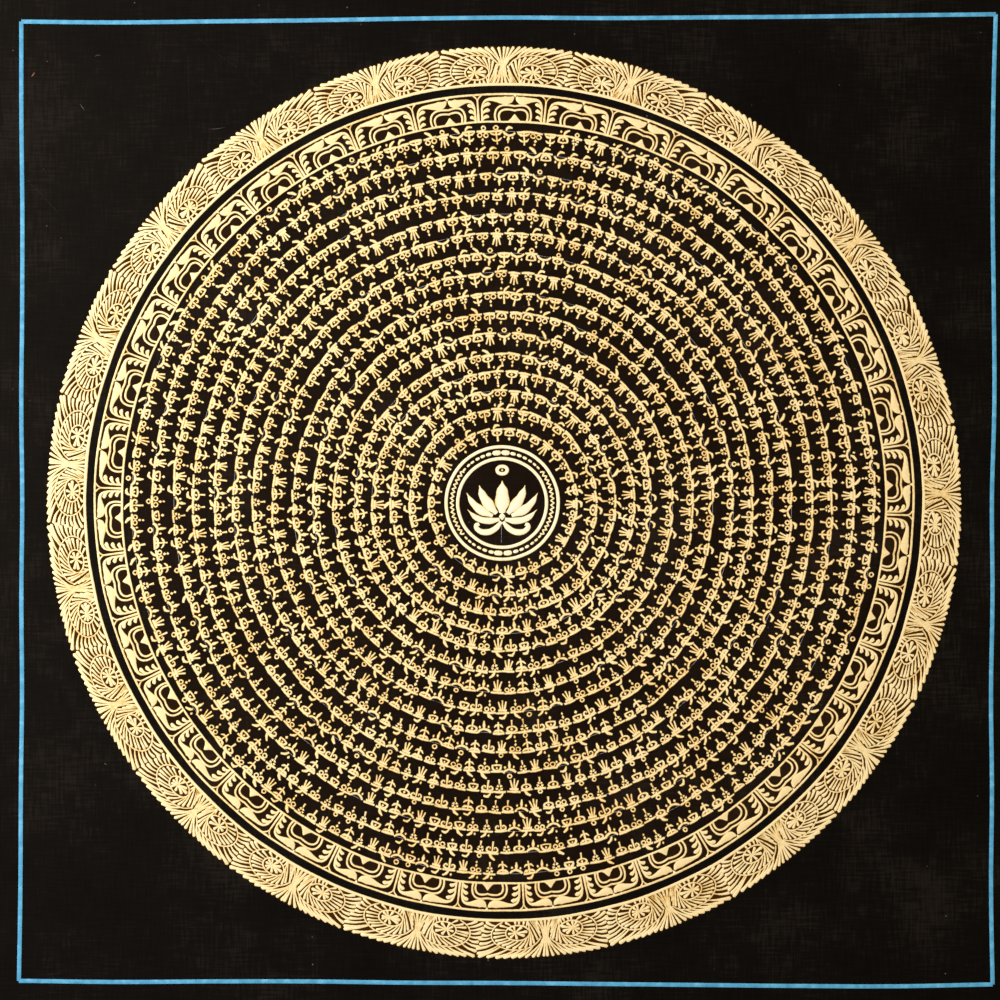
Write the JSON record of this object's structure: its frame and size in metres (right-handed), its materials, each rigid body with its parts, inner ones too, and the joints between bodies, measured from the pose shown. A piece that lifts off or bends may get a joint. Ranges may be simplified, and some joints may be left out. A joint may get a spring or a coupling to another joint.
{
  "type": "unmounted thangka painting on cotton canvas",
  "caption": "Square black-ground cotton canvas painted in gold with a round mandala of scrollwork, lotus petals and hanging garlands inside a thin blue border line.",
  "frame": {"origin": "middle of the canvas's underside, on the surface that it lies on", "axes": "+X to the painting's right, +Y to its top, +Z out of the painted face"},
  "size_m": [0.36, 0.36, 0.001],
  "materials": {
    "painted_cotton": "matt black ground on cotton, painted with pale gold"
  },
  "bodies": {
    "root": {"painted_canvas": "painted_cotton"}
  },
  "joints": []
}
